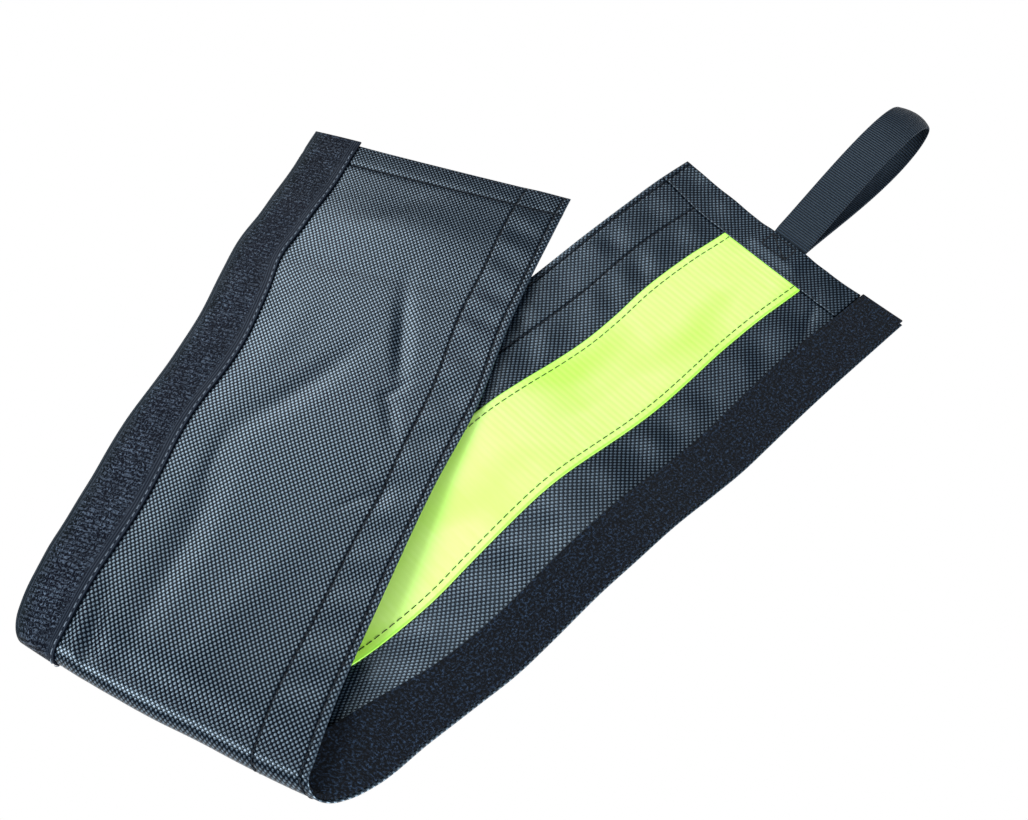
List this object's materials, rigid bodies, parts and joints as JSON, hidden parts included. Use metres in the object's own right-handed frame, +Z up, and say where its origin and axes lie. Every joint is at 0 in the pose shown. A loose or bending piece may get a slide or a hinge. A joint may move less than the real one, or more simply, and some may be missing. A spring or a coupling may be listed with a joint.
{
  "type": "rope protector sleeve",
  "caption": "Long cloth sleeve that wraps lengthwise round a rope and closes hook on loop, with a bright wear band and a webbing loop at one end, laid open and folded over itself",
  "frame": {"origin": "centre of the bounding box's bottom, on the floor that the sleeve lies on", "axes": "+X to the right in the picture and along the longest extent; +Y away from the picture's camera; +Z up"},
  "size_m": [0.406, 0.3708, 0.0255],
  "materials": {
    "cloth": "coarse plain-woven charcoal cloth",
    "hook_tape": "black hook tape",
    "loop_tape": "black napped loop tape",
    "band": "lime wear band, faintly glossy",
    "webbing": "cross-ribbed dark webbing"
  },
  "bodies": {
    "lower_arm": {"lower_cloth_middle": "cloth", "lower_gusset_hook_side": "cloth", "lower_gusset_loop_side": "cloth", "lower_hem_middle": "cloth", "lower_band": "band", "lower_hook_tape_gusset": "hook_tape", "lower_loop_tape_gusset": "loop_tape", "fold_cloth": "cloth", "fold_band": "band", "fold_hook_tape": "hook_tape", "fold_loop_tape": "loop_tape", "attachment_loop_tail": "webbing"},
    "lower_hook_flap": {"lower_cloth_hook_side": "cloth", "lower_hem_hook_side": "cloth", "lower_hook_tape": "hook_tape"},
    "lower_loop_flap": {"lower_cloth_loop_side": "cloth", "lower_hem_loop_side": "cloth", "lower_loop_tape": "loop_tape"},
    "upper_arm": {"upper_cloth_middle": "cloth", "upper_gusset_hook_side": "cloth", "upper_gusset_loop_side": "cloth", "upper_hem_middle": "cloth", "upper_band": "band", "upper_hook_tape_gusset": "hook_tape", "upper_loop_tape_gusset": "loop_tape"},
    "upper_hook_flap": {"upper_cloth_hook_side": "cloth", "upper_hem_hook_side": "cloth", "upper_hook_tape": "hook_tape"},
    "upper_loop_flap": {"upper_cloth_loop_side": "cloth", "upper_hem_loop_side": "cloth", "upper_loop_tape": "loop_tape"},
    "attachment_loop": {"attachment_loop": "webbing"}
  },
  "joints": [
    {"name": "cross_fold", "type": "hinge", "parent": "lower_arm", "child": "upper_arm", "pos_m": [-0.13617, -0.14076, 0.008], "axis": [0.8358, -0.549, 0], "range_deg": [0, 175], "deforming": ["fold_cloth", "fold_band", "fold_hook_tape", "fold_loop_tape"]},
    {"name": "lower_hook_side_closing", "type": "hinge", "parent": "lower_arm", "child": "lower_hook_flap", "pos_m": [0.03239, 0.04995, -0.00198], "axis": [-0.7017, -0.7124, 0.0076], "range_deg": [0, 170], "deforming": ["lower_gusset_hook_side", "lower_hook_tape_gusset"]},
    {"name": "lower_loop_side_closing", "type": "hinge", "parent": "lower_arm", "child": "lower_loop_flap", "pos_m": [0.07128, 0.0076, 0.00064], "axis": [0.7017, 0.7124, -0.0153], "range_deg": [0, 176], "deforming": ["lower_gusset_loop_side", "lower_loop_tape_gusset"]},
    {"name": "upper_hook_side_closing", "type": "hinge", "parent": "upper_arm", "child": "upper_hook_flap", "pos_m": [-0.09924, 0.07398, 0.01525], "axis": [0.3279, 0.9432, -0.053], "range_deg": [0, 170], "deforming": ["upper_gusset_hook_side", "upper_hook_tape_gusset"]},
    {"name": "upper_loop_side_closing", "type": "hinge", "parent": "upper_arm", "child": "upper_loop_flap", "pos_m": [-0.04496, 0.05502, 0.01225], "axis": [-0.328, -0.9435, 0.0475], "range_deg": [0, 176], "deforming": ["upper_gusset_loop_side", "upper_loop_tape_gusset"]},
    {"name": "attachment_loop_swing", "type": "hinge", "parent": "lower_arm", "child": "attachment_loop", "pos_m": [0.13362, 0.10949, 0.00383], "axis": [0.6775, -0.7355, 0], "range_deg": [-45, 90]}
  ],
  "couplings": [
    {"joint": "upper_hook_side_closing", "follows": "lower_hook_side_closing", "ratio": 1},
    {"joint": "upper_loop_side_closing", "follows": "lower_loop_side_closing", "ratio": 1}
  ]
}
